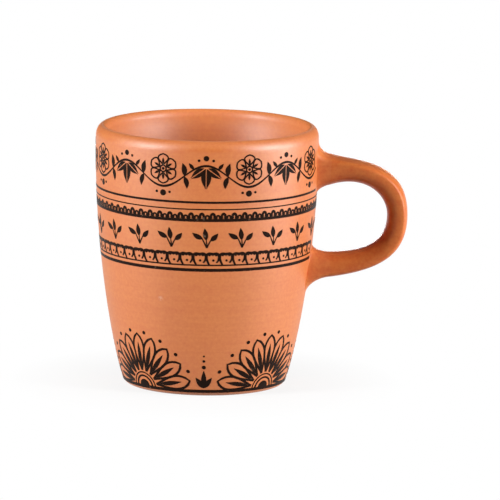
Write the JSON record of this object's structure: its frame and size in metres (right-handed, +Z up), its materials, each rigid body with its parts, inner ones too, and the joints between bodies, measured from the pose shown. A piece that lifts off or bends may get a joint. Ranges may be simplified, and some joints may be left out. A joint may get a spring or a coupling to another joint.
{
  "type": "espresso cup",
  "caption": "Tapered espresso cup of terracotta-coloured clay with a strap handle, a glaze lining and black printed bands, standing on a turned foot ring.",
  "frame": {"origin": "on the cup's axis, in the plane of the foot ring that the cup stands on", "axes": "+Z up along the cup's axis, +X out through the middle of the handle, -Y towards the front of the print"},
  "size_m": [0.0781, 0.0558, 0.065],
  "materials": {
    "clay": "satin",
    "glaze": "satin",
    "ink": "matte"
  },
  "bodies": {
    "root": {"cup_body": "clay", "inside_glaze": "glaze", "handle": "clay", "upper_slip_joint": "clay", "lower_slip_joint": "clay", "frieze_transfer": "ink", "belt_transfer": "ink", "base_transfer": "ink"}
  },
  "joints": []
}
